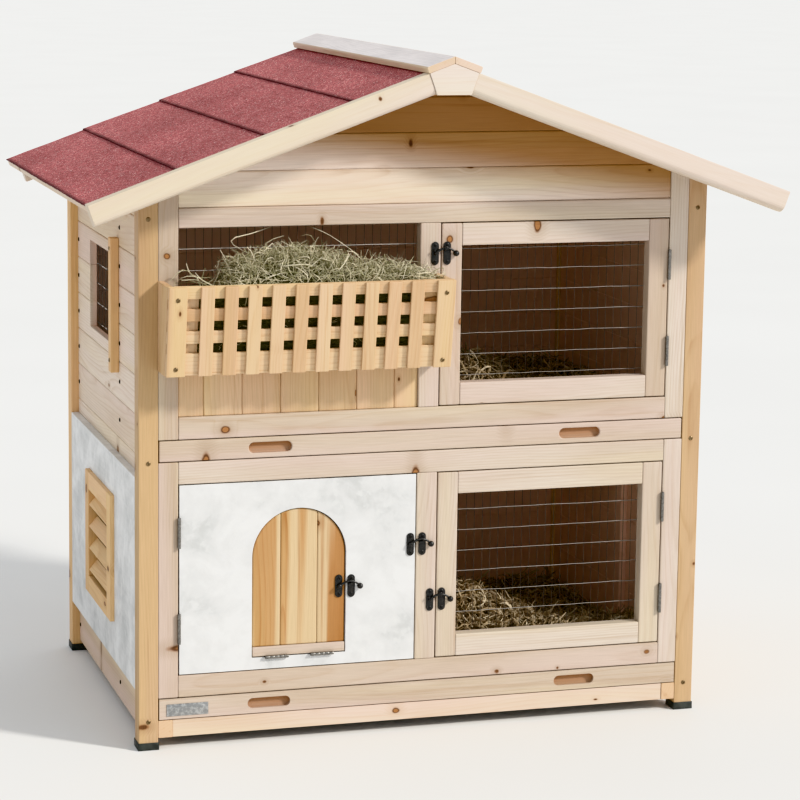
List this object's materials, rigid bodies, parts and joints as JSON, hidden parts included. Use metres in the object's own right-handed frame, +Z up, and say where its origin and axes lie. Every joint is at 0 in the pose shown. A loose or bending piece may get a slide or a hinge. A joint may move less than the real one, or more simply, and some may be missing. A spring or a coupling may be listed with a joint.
{
  "type": "rabbit hutch",
  "caption": "Free-standing two-storey wooden hutch with a felted gable roof, mesh doors, an insulated door with an arched pop door, slide-out trays and a hay rack.",
  "frame": {"origin": "on the ground, under the middle of the whole object's box", "axes": "+X to the right along the front, +Y to the back, +Z up"},
  "size_m": [1.28, 0.899, 1.2342],
  "materials": {
    "pine": "planed, unpainted",
    "warm_pine": "planed, warm toned",
    "foot_cap": "moulded, matt black",
    "wire": "galvanised welded wire",
    "insulated_panel": "white laminate, slightly mottled",
    "roof_felt": "mineral-faced bitumen felt",
    "zinc_hinge": "zinc plated",
    "black_metal": "black enamel",
    "tray_sheet": "galvanised sheet",
    "name_plate": "satin, blank"
  },
  "bodies": {
    "hutch": {"front_posts": "warm_pine", "back_posts": "warm_pine", "foot_caps": "foot_cap", "base_board": "warm_pine", "tray_runners": "warm_pine", "lower_frame_stiles": "pine", "lower_frame_rails": "pine", "upper_frame_stiles": "pine", "upper_frame_rails": "pine", "front_gable_boards": "pine", "back_wall_boards": "pine", "left_wall_boards": "pine", "right_wall_boards": "pine", "infill_boards": "pine", "partition": "pine", "front_mesh": "wire", "window_mesh": "wire", "window_batten": "warm_pine", "inner_batten": "warm_pine", "insulation_panel": "insulated_panel", "vent_frame": "warm_pine", "vent_slats": "warm_pine", "roof_deck_left": "pine", "roof_deck_right": "pine", "roof_felt_left": "roof_felt", "roof_felt_right": "roof_felt", "ridge_cap": "pine", "bargeboards": "pine", "keystone": "pine", "rack_end_panels": "warm_pine", "rack_front_slats": "warm_pine", "rack_rails": "warm_pine", "rack_inner_boards": "warm_pine", "frame_hinges": "zinc_hinge", "frame_latch_plates": "black_metal", "timber_screws": "zinc_hinge"},
    "upper_door": {"upper_door_frame": "pine", "upper_door_mesh": "wire", "upper_door_hinges": "zinc_hinge", "upper_door_latch_plate": "black_metal"},
    "upper_latch": {"upper_latch_lever": "black_metal"},
    "lower_door": {"lower_door_frame": "pine", "lower_door_mesh": "wire", "lower_door_hinges": "zinc_hinge", "lower_door_latch_plate": "black_metal"},
    "lower_latch": {"lower_latch_lever": "black_metal"},
    "house_door": {"house_door_panel": "insulated_panel", "house_door_hinges": "zinc_hinge", "house_door_latch_plates": "black_metal"},
    "house_latch": {"house_latch_lever": "black_metal"},
    "pop_door": {"pop_door_boards": "warm_pine", "pop_door_rail": "pine", "pop_door_hinges": "zinc_hinge", "pop_door_latch_plate": "black_metal"},
    "pop_latch": {"pop_latch_lever": "black_metal"},
    "upper_tray": {"upper_tray_front": "pine", "upper_tray_pan": "tray_sheet"},
    "lower_tray": {"lower_tray_front": "pine", "lower_tray_pan": "tray_sheet", "name_plate": "name_plate"}
  },
  "joints": [
    {"name": "upper_door_hinge", "type": "hinge", "parent": "hutch", "child": "upper_door", "pos_m": [0.458, -0.3325, 0.7665], "axis": [0, 0, 1], "range_deg": [0, 170]},
    {"name": "upper_latch_turn", "type": "hinge", "parent": "upper_door", "child": "upper_latch", "pos_m": [0.027, -0.3335, 0.88734], "axis": [0, -1, 0], "range_deg": [0, 60]},
    {"name": "lower_door_hinge", "type": "hinge", "parent": "hutch", "child": "lower_door", "pos_m": [0.458, -0.3325, 0.3065], "axis": [0, 0, 1], "range_deg": [0, 170]},
    {"name": "lower_latch_turn", "type": "hinge", "parent": "lower_door", "child": "lower_latch", "pos_m": [0.027, -0.3335, 0.25334], "axis": [0, -1, 0], "range_deg": [0, 60]},
    {"name": "house_door_hinge", "type": "hinge", "parent": "hutch", "child": "house_door", "pos_m": [-0.458, -0.3325, 0.3065], "axis": [0, 0, -1], "range_deg": [0, 170]},
    {"name": "house_latch_turn", "type": "hinge", "parent": "house_door", "child": "house_latch", "pos_m": [-0.0305, -0.3335, 0.349], "axis": [0, -1, 0], "range_deg": [0, 95]},
    {"name": "pop_door_hinge", "type": "hinge", "parent": "house_door", "child": "pop_door", "pos_m": [-0.2375, -0.3325, 0.1575], "axis": [1, 0, 0], "range_deg": [0, 120]},
    {"name": "pop_latch_turn", "type": "hinge", "parent": "pop_door", "child": "pop_latch", "pos_m": [-0.1635, -0.3335, 0.279], "axis": [0, -1, 0], "range_deg": [0, 95]},
    {"name": "upper_tray_slide", "type": "slide", "parent": "hutch", "child": "upper_tray", "axis": [0, -1, 0], "range_m": [0, 0.5]},
    {"name": "lower_tray_slide", "type": "slide", "parent": "hutch", "child": "lower_tray", "axis": [0, -1, 0], "range_m": [0, 0.5]}
  ]
}
